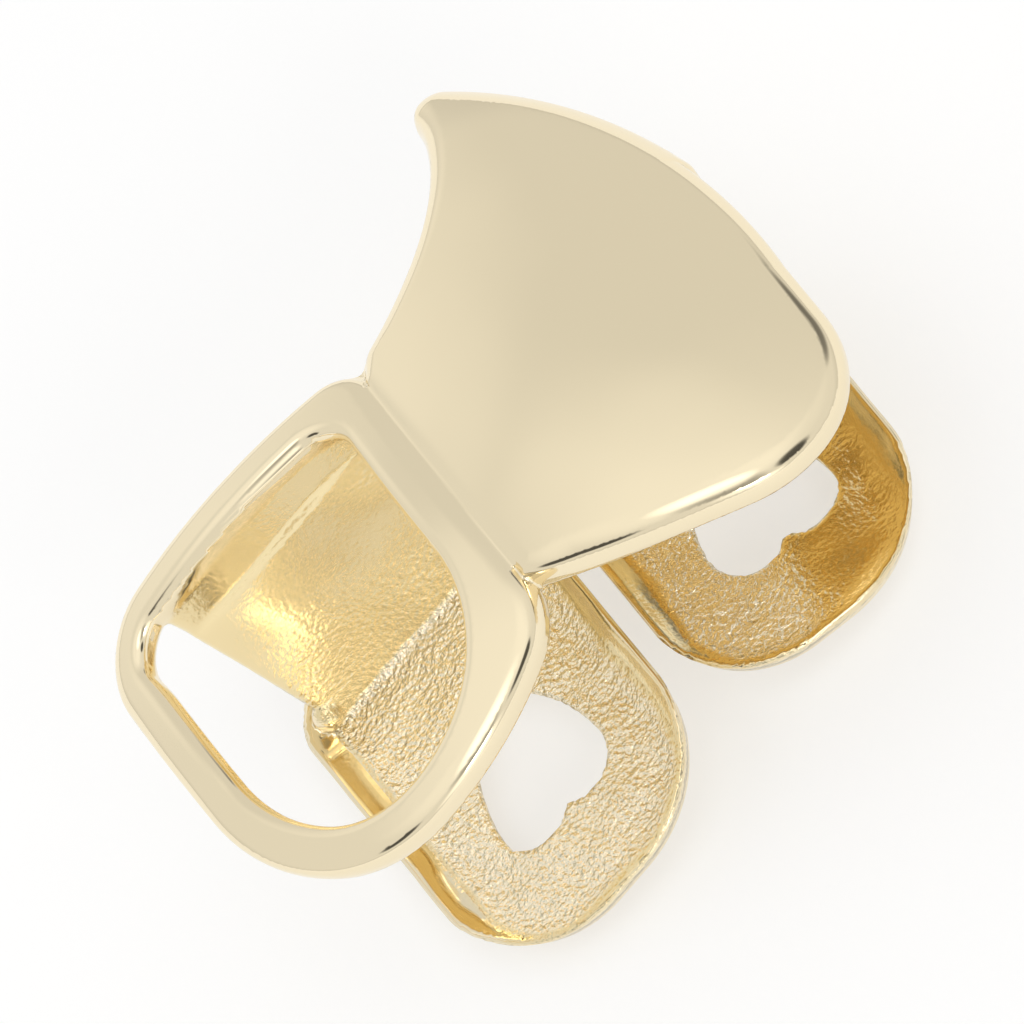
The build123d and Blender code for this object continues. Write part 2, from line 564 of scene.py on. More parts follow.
@dataclass(frozen=True)
class BackPlate:
    """Dished plate with a raised lip round it and a heart cut through."""

    start: float
    end: float
    drop: float
    seam_share: float
    side_share: float
    heart_bottom: float
    heart_shift: float
    swell: float
    top: float = -0.2
    top_round: float = 1.2
    back: float = -6.75
    floor: float = -6.15
    lip_top: float = -5.65
    lip_fall: float = 0.3
    lip_width: float = -0.1
    lip_slant: float = 1.0
    flare: float = 0.4
    flare_level: float = -6.35
    dish_round: float = 0.35
    edge_round: float = 0.35
    heart_flare: float = 0.55
    heart_width: float = 3.15
    heart_length: float = 4.2
    heart_dip: float = 0.4
    lobe_across: float = 0.56
    widest_along: float = 0.24
    flank_across: float = 0.72
    flank_along: float = 0.62
    dip_round: float = 0.22
    point_round: float = 0.3
    heart_round: float = 0.1
    lip_round: float = 0.1
    rim_round: float = 0.06
    fall_start: float = 2.6
    fall_end: float = 0.7
    lip_swell: float = 0.05
    lip_swell_length: float = 2.9
    floor_swell: float = 0.04
    floor_swell_length: float = 2.1

    def outline(self) -> Outline:
        """Outline of the plate, rounder at the gum.

        Returns:
            The outline.
        """
        width = self.end - self.start
        low_left, low_right = (self.start, -self.drop), (self.end, -self.drop)
        high_right, high_left = (self.end, self.top), (self.start, self.top)
        shape = Outline(polygon(low_left, low_right, high_right, high_left, low_left))
        for corner, radius in [
            (low_left, self.seam_share * width),
            (low_right, self.side_share * width),
            (high_right, self.top_round),
            (high_left, self.top_round),
        ]:
            shape.soften(corner, radius)
        return shape

    def heart(self) -> Outline:
        """Outline of the heart, its lobes towards the gum.

        Returns:
            The outline.
        """
        middle = (self.start + self.end) / 2 + self.heart_shift
        half, length = self.heart_width / 2, self.heart_length
        low = -self.heart_bottom
        dip, point = (middle, low + self.heart_dip), (middle, low + length)

        def side(sign: int) -> list[Point]:
            """Three points of one side: the lobe's foot, its widest place and the flank.

            Args:
                sign: 1 for the right side and -1 for the left.

            Returns:
                The points.
            """
            return [
                (middle + sign * self.lobe_across * half, low),
                (middle + sign * half, low + self.widest_along * length),
                (middle + sign * self.flank_across * half, low + self.flank_along * length),
            ]

        right, left = side(1), side(-1)
        shape = Outline(
            [
                arc_through(dip, right[0], right[1]),
                arc_through(right[1], right[2], point),
                arc_through(point, left[2], left[1]),
                arc_through(left[1], left[0], dip),
            ]
        )
        shape.soften(dip, self.dip_round)
        shape.soften(point, self.point_round)
        return shape

    def distance(
        self, x: Array, y: Array, z: Array, rim: Array, hole: Array, inset: float = 0.0
    ) -> Array:
        """Signed distance of the plate.

        Args:
            x: Across the tooth, from the seam.
            y: Towards the biting edge.
            z: Out of the face.
            rim: Signed distance to the plate's outline.
            hole: Signed distance to the heart.
            inset: How far the outer sides are moved in, the dish staying.

        Returns:
            The distance at each point.
        """
        swell = waves(x, y, self.lip_swell_length, self.swell)
        fallen = eased(-y, self.drop - self.fall_start, self.drop - self.fall_end)
        lip_top = self.lip_top - self.lip_fall * fallen
        side = (rim - self.flare * (z - self.flare_level)) / hypot(1, self.flare)
        body = rounded_meet(side + inset, self.back + inset - z, self.edge_round)
        body = rounded_meet(body, z - lip_top, self.lip_round)
        slant = rim + self.lip_width + self.lip_swell * swell + self.lip_slant * (lip_top - z)
        floor = self.floor + self.floor_swell * waves(x, y, self.floor_swell_length, self.swell + 2)
        dish = rounded_meet(slant / hypot(1, self.lip_slant), floor - z, self.dish_round)
        plate = rounded_meet(body, -dish, self.rim_round)
        opened = hole - self.heart_flare * np.maximum(self.floor - z, 0)
        return rounded_meet(plate, -opened, self.heart_round)


class Side(Enum):
    """Which side of the seam a cap lies on."""

    OPEN = "open"
    FANG = "fang"


@dataclass
class Cap:
    """What both caps share: where they sit, their skin, wall and back plate."""

    side: Side
    lean: float
    skin: Skin
    wall: BitingWall
    plate: BackPlate
    edge_bevel: float
    crease_round: float = 0.16
    seam_bevel: float = 0.15
    knob: tuple[float, ...] = ()
    knob_fillet: float = 0.1
    wall_fillet: float = 0.16
    full_bevel_across: Point = (0.25, 1.3)
    full_bevel_along: Point = (-0.2, 0.8)
    smooth_from: float = 20.0
    smooth_run: float = 1.3
    lip_rise: Point = (0.06, 0.2)
    lip_band: Point = (-0.75, -0.45)
    lip_spare: float = 0.1
    rim_spare: float = 0.5
    floor_spare: float = 0.17
    floor_run: float = 0.1
    room_spare: float = 0.3

    def __post_init__(self) -> None:
        """Draws the outlines once."""
        self.plate_rim = self.plate.outline()
        self.heart = self.plate.heart()

    def local(self, at: Array) -> tuple[Array, Array, Array]:
        """Points from the seam's frame into the cap's own.

        Args:
            at: Points from the seam's end, one row each.

        Returns:
            x, y and z in the cap's frame.
        """
        turn = radians(self.lean)
        mirror = -1 if self.side is Side.OPEN else 1
        across = mirror * at[:, 0]
        x = across * cos(turn) - at[:, 2] * sin(turn)
        z = across * sin(turn) + at[:, 2] * cos(turn)
        return x, at[:, 1], z

    def bevel(self, x: Array, y: Array) -> Array:
        """Size of the bevel on the face's front edge, which is smaller along the seam."""
        free = np.maximum(eased(x, *self.full_bevel_across), eased(y, *self.full_bevel_along))
        return self.seam_bevel + (self.edge_bevel - self.seam_bevel) * free

    def face(self, x: Array, y: Array, z: Array, behind: Array) -> Array:
        """Signed distance of the face, which each cap draws in its own way."""
        raise NotImplementedError

    def distance(self, at: Array) -> Array:
        """Signed distance of the whole cap.

        Args:
            at: Points from the seam's end, one row each.

        Returns:
            The distance at each point.
        """
        x, y, z = self.local(at)
        behind = self.skin.depth(x, y, z)
        rim, heart = self.plate_rim.distance(x, y), self.heart.distance(x, y)
        wall = self.wall.distance(x, y, z, behind)
        plate = self.plate.distance(x, y, z, rim, heart)
        inner_wall = self.wall.distance(x, y, z, behind, self.crease_round)
        inner_plate = self.plate.distance(x, y, z, rim, heart, self.crease_round)
        crease = filleted_join(inner_wall, inner_plate, self.crease_round)
        if self.knob:
            kx, ky, kz, size = self.knob
            ball = np.hypot(np.hypot(x - kx, y - ky), z - kz) - size
            crease = filleted_join(crease, ball, self.knob_fillet)
        solid = filleted_join(self.face(x, y, z, behind), wall, self.wall_fillet)
        return np.minimum(np.minimum(solid, plate), crease)

    def on_lip(self, at: Array) -> Array:
        """How far points lie on the smoother parts of the plate: its lip, and the fang's outer half.

        Args:
            at: Points from the seam's end, one row each.

        Returns:
            0 on the grainy floor and away from the plate, 1 on the smooth parts.
        """
        x, y, z = self.local(at)
        rim = self.plate_rim.distance(x, y)
        lip = eased(z - self.plate.floor, *self.lip_rise) * eased(rim, *self.lip_band)
        smooth = eased(x, self.smooth_from, self.smooth_from + self.smooth_run)
        on_plate = (z < self.plate.lip_top + self.lip_spare) * (rim < self.rim_spare)
        return np.maximum(lip, smooth) * on_plate

    def on_floor(self, at: Array) -> Array:
        """How far points lie on the back plate's floor, 0 on the wall and 1 on the floor."""
        x, _, z = self.local(at)
        return eased(self.plate.floor + self.floor_spare - z, 0, self.floor_run) * (x > 0)

    def hollow(self, at: Array) -> Array:
        """Signed distance of the room inside the cap, negative in the room.

        Args:
            at: Points from the seam's end, one row each.

        Returns:
            The distance at each point.
        """
        x, y, z = self.local(at)
        behind = self.skin.depth(x, y, z)
        room = np.maximum(behind + self.skin.wall, self.plate.floor - z)
        room = np.maximum(room, y - self.wall.inner_face(x, z))
        beside = self.plate_rim.distance(x, y) * (z < self.plate.lip_top + self.room_spare)
        room = np.maximum(room, beside)
        return np.maximum(room, np.maximum(-x, x - self.wall.reach))


@dataclass
class OpenCap(Cap):
    """Cap with a framed window in its face."""

    width: float = 9.0
    biting_edge: float = 0.88
    gum_depth: float = 10.05
    peak: float = 4.7
    shoulder: float = 5.2
    seam_end: float = 7.0
    seam_round: float = 1.0
    side_round: float = 2.1
    border: float = 1.12
    window_round: float = 0.9
    window_shoulder: float = 5.0
    window_edge: float = 0.36
    window_draft: float = 0.25
    outer_draft: float = -0.18
    outer_run: float = 2.0
    outer_from: Point = (0.5, 2.0)
    seam_tight: float = 2.3
    side_tight: float = 4.0
    window_seam_tight: float = 3.4
    window_side_tight: float = 2.8

    def __post_init__(self) -> None:
        """Draws the outlines once."""
        super().__post_init__()
        self.rim = self.ring(
            0, self.shoulder, self.seam_end, self.seam_tight, self.side_tight,
            self.side_round, self.seam_round,
        )
        level, corner = self.window_shoulder, self.window_round
        self.window = self.ring(
            self.border, level, level, self.window_seam_tight, self.window_side_tight, corner, corner
        )

    def ring(
        self, inset: float, shoulder: float, seam_end: float, seam_tight: float, side_tight: float,
        side_round: float, seam_round: float,
    ) -> Outline:
        """Outline that is square at the biting edge and oval at the gum.

        Args:
            inset: How far inside the cap's outer edge it runs.
            shoulder: Where the outer side starts to bend.
            seam_end: Where the seam side starts to bend.
            seam_tight: Smaller radius of the oval at the seam side.
            side_tight: Smaller radius of the oval at the outer side.
            side_round: Radius of the outer corner.
            seam_round: Radius of the corner at the seam.

        Returns:
            The outline.
        """
        left, right, top = inset, self.width - inset, self.biting_edge - inset
        low = (self.peak, inset - self.gum_depth)
        drop = self.gum_depth - inset
        pieces: list[Straight | Arc] = []
        pieces += oval_quarter(low, self.peak - left, drop - seam_end, seam_tight, False)
        pieces += oval_quarter(low, right - self.peak, drop - shoulder, side_tight, True)
        pieces += polygon((right, -shoulder), (right, top), (left, top), (left, -seam_end))
        shape = Outline(pieces)
        shape.soften((right, top), side_round)
        shape.soften((left, top), seam_round)
        return shape

    def face(self, x: Array, y: Array, z: Array, behind: Array) -> Array:
        """Signed distance of the frame round the window.

        Args:
            x: Across the tooth, from the seam.
            y: Towards the biting edge.
            z: Out of the face.
            behind: Signed distance to the face.

        Returns:
            The distance at each point.
        """
        drawn_x, drawn_y = self.skin.footprint(x, y, z)
        rim = self.rim.distance(np.where(x < self.skin.middle, x, drawn_x), drawn_y)
        window = self.window.distance(drawn_x, drawn_y)
        shell = self.skin.shell(rim, behind, self.bevel(x, y))
        outer = eased(x, self.peak, self.peak + self.outer_run) * eased(-y, *self.outer_from)
        draft = self.window_draft + self.outer_draft * outer
        return rounded_meet(shell, draft * np.clip(-behind, 0, 1) - window, self.window_edge)


@dataclass
class FangCap(Cap):
    """Cap with a solid face that runs out into a fang."""

    width: float = 8.92
    point: Point = (4.371, 7.65)
    point_round: float = 0.62
    flank_start: Point = (0.4, 0.7)
    front_middle: Point = (2.898, 2.211)
    back_middle: Point = (7.903, 2.234)
    shoulder: float = 4.5
    gum_depth: float = 9.6
    gum_round: float = 3.3
    gum_middle: Point = (3.746, -9.15)
    seam_end: float = 7.2
    root: tuple[float, ...] = (-0.35, 4.46, 5.53, 0.0, 6.2)
    waist: tuple[float, ...] = (3.09, 4.906, 3.746, 0.0, 3.1)
    tip: tuple[float, ...] = (6.45, 4.991, 1.24, -1.1, 1.1)
    flank_round: float = 0.6
    least_half: float = 0.3
    body_round: float = 0.25

    def __post_init__(self) -> None:
        """Draws the outlines once."""
        super().__post_init__()
        corner, shoulder = (self.width, -self.gum_depth), (self.width, -self.shoulder)
        seam_end = (0.0, -self.seam_end)
        self.rim = Outline(
            [
                arc_through(seam_end, self.gum_middle, corner),
                Straight(corner, shoulder),
                arc_through(shoulder, self.back_middle, self.point),
                arc_through(self.point, self.front_middle, self.flank_start),
                Straight(self.flank_start, (0.0, 0.0)),
                Straight((0.0, 0.0), seam_end),
            ]
        )
        self.rim.soften(corner, self.gum_round)
        self.rim.soften(self.point, self.point_round)
        self.rim.soften(self.flank_start, self.flank_round)

    def body(self, x: Array, y: Array, z: Array) -> Array:
        """Signed distance of the solid fang: ovals that shrink towards the point.

        Args:
            x: Across the tooth, from the seam.
            y: Towards the biting edge.
            z: Out of the face.

        Returns:
            The distance at each point.
        """
        knots = [self.root[0], self.waist[0], self.tip[0]]
        level = np.clip(y, knots[0], knots[2])
        weights = [
            np.prod([(level - b) / (a - b) for b in knots if b != a], axis=0) for a in knots
        ]
        middle, half, height, deep = (
            sum(w * station[k] for w, station in zip(weights, (self.root, self.waist, self.tip)))
            for k in range(1, len(self.root))
        )
        half, deep = np.maximum(half, self.least_half), np.maximum(deep, self.least_half)
        px, pz = x - middle, z - height
        size = np.hypot(px / half, pz / deep)
        slope = np.hypot(px / half**2, pz / deep**2) + TINY
        oval = size * (size - 1) / slope
        return np.maximum(oval, np.abs(y - (knots[0] + knots[2]) / 2) - (knots[2] - knots[0]) / 2)

    def face(self, x: Array, y: Array, z: Array, behind: Array) -> Array:
        """Signed distance of the face and of the fang behind it.

        Args:
            x: Across the tooth, from the seam.
            y: Towards the biting edge.
            z: Out of the face.
            behind: Signed distance to the face.

        Returns:
            The distance at each point.
        """
        drawn_x, drawn_y = self.skin.footprint(x, y, z)
        drawn = self.rim.distance(np.where(x < self.skin.middle, x, drawn_x), drawn_y)
        bevel = self.bevel(x, y)
        shell = self.skin.shell(drawn, behind, bevel)
        block = bevelled_meet(self.rim.distance(x, y), behind, bevel, self.skin.bevel_round)
        body = rounded_meet(block, self.body(x, y, z), self.body_round)
        return np.minimum(shell, body)


@dataclass
class Casting:
    """The whole cover: both caps in one metal, on the seam that joins them."""

    seam_at: Triple = (0.04366977, 1.79496248, 7.89299915)
    step: float = 0.105
    quick_step: float = 0.2
    seam_fillet: float = 0.1
    groove: float = 0.1
    solder_middle: float = -3.5
    solder_half: float = 3.3
    solder_reach: float = 0.7
    relax_rounds: int = 3
    nudge: float = 0.004
    cast_from: Point = (0.03, 0.2)
    face_grain: float = 0.05
    wall_grain: float = 0.35
    wall_from: Point = (3.2, 5.4)
    plate_grain_and_painted_light: float = 0.6
    lip_polish: float = 0.8
    caps: list[Cap] = field(default_factory=list)

    def __post_init__(self) -> None:
        """Makes the two caps."""
        open_plate = BackPlate(
            start=0.82,
            end=7.5,
            drop=10.05,
            seam_share=0.43,
            side_share=0.43,
            heart_bottom=7.55,
            heart_shift=0.0,
            swell=0.4,
        )
        fang_plate = BackPlate(
            start=1.95,
            end=8.32,
            drop=8.72,
            seam_share=0.38,
            side_share=0.48,
            heart_bottom=6.2,
            heart_shift=0.16,
            swell=2.6,
        )
        open_cap = OpenCap(
            side=Side.OPEN,
            lean=9.6,
            skin=Skin(radius=14.0, middle=4.5),
            wall=BitingWall(reach=7.0),
            plate=open_plate,
            edge_bevel=0.17,
            knob=(6.95, -0.95, -5.72, 0.36),
        )
        fang_cap = FangCap(
            side=Side.FANG,
            lean=8.4,
            skin=Skin(radius=11.0, middle=3.871),
            wall=BitingWall(reach=8.32),
            plate=fang_plate,
            edge_bevel=0.3,
            smooth_from=4.3,
        )
        self.caps = [open_cap, fang_cap]

    def distance(self, at: Array) -> Array:
        """Signed distance of the metal.

        Args:
            at: Points in the part's frame in millimetres, one row each.

        Returns:
            The distance at each point.
        """
        at = at - np.array(self.seam_at)
        joined = filleted_join(*(cap.distance(at) for cap in self.caps), self.seam_fillet)
        return filleted_join(joined, self.solder(at), self.seam_fillet)

    def solder(self, at: Array) -> Array:
        """Signed distance of the metal that fills the seam behind its groove.

        Args:
            at: Points from the seam's end, one row each.

        Returns:
            The distance at each point.
        """
        behind = [cap.skin.depth(*cap.local(at)) for cap in self.caps]
        high = np.maximum(*behind) + self.groove
        low = -np.minimum(*behind) - self.caps[0].skin.wall + self.groove / 2
        ends = np.abs(at[:, 1] - self.solder_middle) - self.solder_half
        return np.maximum(np.maximum(high, low), np.maximum(ends, np.abs(at[:, 0]) - self.solder_reach))

    def slope(self, at: Array) -> tuple[Array, Array]:
        """Signed distance of the metal, and the way out of it.

        Args:
            at: Points in the part's frame in millimetres, one row each.

        Returns:
            The distance, and its gradient by central differences.
        """
        parts = [
            (self.distance(at + axis) - self.distance(at - axis)) / (2 * self.nudge)
            for axis in np.eye(3) * self.nudge
        ]
        return self.distance(at), np.stack(parts, 1)

    def finish_shares(self, at: Array) -> tuple[Array, Array]:
        """How far points of the surface have the cast finish of the inside, and its grain.

        Args:
            at: Points in the part's frame in millimetres, one row each.

        Returns:
            The cast share, 0 where the surface is polished and 1 where it is left as cast, and
            the grain's share, which grows from the face to the back plates.
        """
        at = at - np.array(self.seam_at)
        room = np.minimum(*(cap.hollow(at) for cap in self.caps))
        skins = [cap.skin.depth(*cap.local(at)) for cap in self.caps]
        behind = np.where(at[:, 0] < 0, *skins)
        cast = 1 - eased(room, *self.cast_from)
        lip = np.maximum(*(cap.on_lip(at) for cap in self.caps))
        floor = np.maximum(*(cap.on_floor(at) for cap in self.caps))
        grain = self.face_grain + self.wall_grain * eased(-behind, *self.wall_from)
        # The plates' floors get the highest grain share, and with it the material's paler colour, which is
        # painted light.
        grain = grain + self.plate_grain_and_painted_light * floor
        return cast, cast * grain * (1 - self.lip_polish * lip)


def surface_net(values: Array, low: Array, step: float) -> tuple[Array, Array]:
    """Mesh of the zero level of a grid of signed distances, one vertex for each crossed cell.

    Args:
        values: Signed distances on a regular grid.
        low: Place of the grid's first point.
        step: Spacing of the grid.

    Returns:
        The vertices, and quads that face out of the solid.
    """
    inside = values < 0
    nx, ny, nz = (n - 1 for n in values.shape)
    corners = [(i, j, k) for i in (0, 1) for j in (0, 1) for k in (0, 1)]
    count = sum(inside[i : i + nx, j : j + ny, k : k + nz].astype(np.int8) for i, j, k in corners)
    cells = np.argwhere((count > 0) & (count < len(corners)))
    number = np.full((nx, ny, nz), -1)
    number[tuple(cells.T)] = np.arange(len(cells))
    total, hits = np.zeros((len(cells), 3)), np.zeros(len(cells))
    for a in corners:
        for axis in range(3):
            if a[axis]:
                continue
            b = tuple(a[n] + (n == axis) for n in range(3))
            va = values[tuple((cells + a).T)]
            vb = values[tuple((cells + b).T)]
            crossed = (va < 0) != (vb < 0)
            share = np.where(crossed, va / np.where(crossed, va - vb, 1), 0)
            place = np.array(a, float) + share[:, None] * (np.array(b) - np.array(a))
            total += place * crossed[:, None]
            hits += crossed
    vertices = low + step * (cells + total / hits[:, None])
    quads = []
    for axis in range(3):
        ahead = np.zeros(3, int)
        ahead[axis] = 1
        one, two = np.eye(3, dtype=int)[(axis + 1) % 3], np.eye(3, dtype=int)[(axis + 2) % 3]
        shape = np.array(values.shape) - ahead
        here = inside[tuple(slice(0, n) for n in shape)]
        there = inside[tuple(slice(a, a + n) for a, n in zip(ahead, shape))]
        for leaving in (True, False):
            edges = np.argwhere((here & ~there) if leaving else (there & ~here))
            ring = [number[tuple((edges + offset).T)] for offset in (-one - two, -two, 0 * one, -one)]
            quads.append(np.stack(ring if leaving else ring[::-1], 1))
    return vertices, np.concatenate(quads)


def relaxed(vertices: Array, quads: Array) -> Array:
    """Each vertex moved half way to the middle of its neighbours.

    Args:
        vertices: The vertices.
        quads: The quads between them.

    Returns:
        The moved vertices.
    """
    total, hits = np.zeros_like(vertices), np.zeros(len(vertices))
    for a, b in ((0, 1), (1, 2), (2, 3), (3, 0)):
        first, second = quads[:, a], quads[:, b]
        for one, other in ((first, second), (second, first)):
            hits += np.bincount(one, minlength=len(vertices))
            for axis in range(3):
                total[:, axis] += np.bincount(one, vertices[other, axis], len(vertices))
    return (vertices + total / hits[:, None]) / 2


@dataclass(frozen=True)
class Relief:
    """Fine relief of a finish: its size and height in millimetres, and how many finer layers it has."""

    size: float
    height: float
    layers: float = 0.0

    def build(self, tree: Tree, at: Socket) -> Socket:
        """Adds the relief to a material.

        Args:
            tree: Node tree of the material.
            at: Place on the piece.

        Returns:
            The relief's output.
        """
        inputs = {"Vector": at, "Scale": 1 / (self.size * MM), "Detail": self.layers}
        noise = add_node(tree, "ShaderNodeTexNoise", inputs)
        return add_math(tree, "MULTIPLY", noise.outputs["Fac"], self.height)


@dataclass(frozen=True)
class CoverFinish:
    """Pale gold plate: mirror bright outside, deeper and rough with grain where it is left as cast, and
    paler on the back plates' floors, which is painted light standing in for the light they catch.
    """

    polished: Colour = (0.90, 0.785, 0.555, 1.0)
    cast: Colour = (0.88, 0.73, 0.43, 1.0)
    # Paler colour of the back plates' floors: painted light, standing in for the light that falls there;
    # the grain relief itself is real.
    grain_and_painted_light: Colour = (0.98, 0.885, 0.69, 1.0)
    polished_rough: float = 0.08
    cast_rough: float = 0.16
    painted_light_from: float = 0.45
    grain: Relief = Relief(size=0.11, height=0.1, layers=2.0)
    pits: Relief = Relief(size=0.22, height=0.055, layers=1.0)
    swell: Relief = Relief(size=2.6, height=0.06)

    def material(self) -> bpy.types.Material:
        """Builds the material.

        Returns:
            The material, which reads the cast share and the grain from the piece's attributes.
        """
        made = bpy.data.materials.new("pale_gold_plate")
        made.use_nodes = True
        tree = made.node_tree
        cast, grain_and_painted_light = (
            add_node(tree, "ShaderNodeAttribute", attribute_name=name).outputs["Fac"]
            for name in (CAST, GRAIN)
        )
        # Where the grain share is high, on the back plates' floors, the colour turns paler: painted light.
        floor = add_node(tree, "ShaderNodeMapRange", {"Value": grain_and_painted_light, "From Min": self.painted_light_from})
        colour = self.blend(tree, cast, self.polished, self.cast)
        colour = self.blend(tree, floor.outputs["Result"], colour, self.grain_and_painted_light)
        rough = {"Value": cast, "To Min": self.polished_rough, "To Max": self.cast_rough}
        at = add_node(tree, "ShaderNodeTexCoord").outputs["Object"]
        grain, pits, swell = (part.build(tree, at) for part in (self.grain, self.pits, self.swell))
        relief = add_math(tree, "MULTIPLY", add_math(tree, "ADD", grain, pits), grain_and_painted_light)
        relief = add_math(tree, "ADD", relief, swell)
        bump = {"Strength": 1.0, "Distance": MM, "Height": relief}
        shader = tree.nodes["Principled BSDF"]
        for name, given in {
            "Metallic": 1.0,
            "Base Color": colour,
            "Roughness": add_node(tree, "ShaderNodeMapRange", rough).outputs["Result"],
            "Normal": add_node(tree, "ShaderNodeBump", bump).outputs["Normal"],
        }.items():
            feed(tree, shader.inputs[name], given)
        return made

    @staticmethod
    def blend(tree: Tree, share: Socket, low: Given, high: Given) -> Socket:
        """Mix of two colours by a share that differs over the surface.

        Args:
            tree: Node tree of the material.
            share: Output with the share.
            low: Colour where the share is 0.
            high: Colour where the share is 1.

        Returns:
            The mixed colour's output.
        """
        mix = add_node(tree, "ShaderNodeMix", data_type="RGBA")
        feed(tree, next(socket for socket in mix.inputs if socket.type == "VALUE"), share)
        colours = [socket for socket in mix.inputs if socket.type == "RGBA"]
        for socket, colour in zip(colours, (low, high)):
            feed(tree, socket, colour)
        return next(socket for socket in mix.outputs if socket.type == "RGBA")


@dataclass(frozen=True)
class CastSkin:
    """Pits and humps that casting leaves on the inside, laid on the surface by geometry nodes."""

    size: float = 0.38
    height: float = 0.05
    seed: float = 3.7
    layers: float = 1.0
    middle: float = 0.5

    def tree(self, finish: bpy.types.Material) -> bpy.types.NodeTree:
        """Builds the node tree, with the grain's size, height and seed as named inputs.

        Args:
            finish: Material that the tree sets.

        Returns:
            The tree.
        """
        tree = bpy.data.node_groups.new("cast_skin", "GeometryNodeTree")
        face = tree.interface
        face.new_socket("Geometry", in_out="INPUT", socket_type="NodeSocketGeometry")
        for name in ("Grain Size", "Grain Height", "Seed"):
            face.new_socket(name, in_out="INPUT", socket_type="NodeSocketFloat")
        face.new_socket("Geometry", in_out="OUTPUT", socket_type="NodeSocketGeometry")
        given = add_node(tree, "NodeGroupInput").outputs
        scale = add_math(tree, "DIVIDE", 1.0, given["Grain Size"])
        grain = {"Scale": scale, "W": given["Seed"], "Detail": self.layers}
        noise = add_node(tree, "ShaderNodeTexNoise", grain, noise_dimensions="4D")
        share = add_node(tree, "GeometryNodeInputNamedAttribute", {"Name": GRAIN}, data_type="FLOAT")
        lift = add_math(tree, "SUBTRACT", noise.outputs["Fac"], self.middle)
        for by in (given["Grain Height"], share.outputs["Attribute"]):
            lift = add_math(tree, "MULTIPLY", lift, by)
        normal = add_node(tree, "GeometryNodeInputNormal").outputs["Normal"]
        out = add_node(tree, "ShaderNodeVectorMath", {0: normal, "Scale": lift}, operation="SCALE")
        shape = given["Geometry"]
        for kind, inputs in (
            ("GeometryNodeSetPosition", {"Offset": out.outputs["Vector"]}),
            ("GeometryNodeRealizeInstances", {}),
            ("GeometryNodeSetMaterial", {"Material": finish}),
        ):
            shape = add_node(tree, kind, {"Geometry": shape, **inputs}).outputs["Geometry"]
        add_node(tree, "NodeGroupOutput", {"Geometry": shape})
        return tree

    def apply(self, smooth: bpy.types.Mesh, finish: bpy.types.Material) -> bpy.types.Mesh:
        """Lays the cast skin on a mesh.

        Args:
            smooth: The smooth mesh, with the grain's share as an attribute.
            finish: Material of the result.

        Returns:
            A plain mesh with the same vertices, moved.
        """
        carrier = placed("casting_smooth", smooth)
        skin = carrier.modifiers.new("cast_skin", "NODES")
        skin.node_group = self.tree(finish)
        values = {"Grain Size": self.size * MM, "Grain Height": self.height * MM, "Seed": self.seed}
        for socket in skin.node_group.interface.items_tree:
            if socket.in_out == "INPUT" and socket.name in values:
                skin[socket.identifier] = values[socket.name]
        ready = carrier.evaluated_get(bpy.context.evaluated_depsgraph_get())
        made = bpy.data.meshes.new_from_object(ready)
        carrier.modifiers.remove(skin)
        bpy.data.objects.remove(carrier)
        bpy.data.meshes.remove(smooth)
        return made


@dataclass
class Cover:
    """The casting's mesh and its dress."""

    casting: Casting
    finish: CoverFinish
    skin: CastSkin
    low: Triple = (-9.3, -8.7, -0.4)
    high: Triple = (9.3, 8.7, 8.6)
    slabs: int = 16
    least_slope: float = 0.25
    rough_gain: float = 4.0

    def net(self, step: float) -> tuple[Array, Array]:
        """Meshes the casting.

        Args:
            step: Spacing of the mesh in millimetres.

        Returns:
            The vertices in millimetres and the quads.
        """
        low = np.array(self.low)
        count = np.ceil((np.array(self.high) - low) / step).astype(int) + 1
        axes = [low[i] + step * np.arange(count[i]) for i in range(3)]
        grid = np.stack(np.meshgrid(*axes, indexing="ij"), -1)
        slabs = np.array_split(grid, self.slabs)
        values = [self.casting.distance(s.reshape(-1, 3)).reshape(s.shape[:3]) for s in slabs]
        vertices, quads = surface_net(np.concatenate(values), low, step)
        for _ in range(self.casting.relax_rounds):
            vertices = self.settled(relaxed(vertices, quads))
        return vertices, quads

    def settled(self, vertices: Array, rounds: int = 2) -> Array:
        """Vertices moved on to the exact surface.

        Args:
            vertices: The vertices.
            rounds: How often they are moved.

        Returns:
            The moved vertices.
        """
        for _ in range(rounds):
            away, slope = self.casting.slope(vertices)
            steep = np.maximum((slope**2).sum(1), self.least_slope)
            vertices = vertices - slope * (away / steep)[:, None]
        return vertices

    def build(self) -> bpy.types.Object:
        """Builds the piece, dresses it and puts it in the place of the CAD node.

        Returns:
            The finished piece.
        """
        step = self.casting.step
        vertices, quads = self.net(step)
        smooth = bpy.data.meshes.new("casting_smooth")
        smooth.from_pydata((vertices * MM).tolist(), [], quads.tolist())
        cast, grain = self.casting.finish_shares(vertices)
        for name, values in ((CAST, cast), (GRAIN, grain)):
            smooth.attributes.new(name, "FLOAT", "POINT").data.foreach_set("value", values)
        finish = self.finish.material()
        mesh = self.skin.apply(smooth, finish)
        mesh.name = "tooth_cover_casting"
        mesh.polygons.foreach_set("use_smooth", [True] * len(mesh.polygons))
        slope = self.casting.slope(vertices)[1]
        exact = slope / np.linalg.norm(slope, axis=1)[:, None]
        rough = np.array([v.normal for v in mesh.vertices])
        normals = exact + (rough - exact) * np.minimum(self.rough_gain * grain, 1)[:, None]
        normals /= np.linalg.norm(normals, axis=1)[:, None]
        mesh.normals_split_custom_set_from_vertices(normals.tolist())
        piece = placed("tooth_cover_casting", mesh)
        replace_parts(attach(piece, BODY), NODE)
        return piece


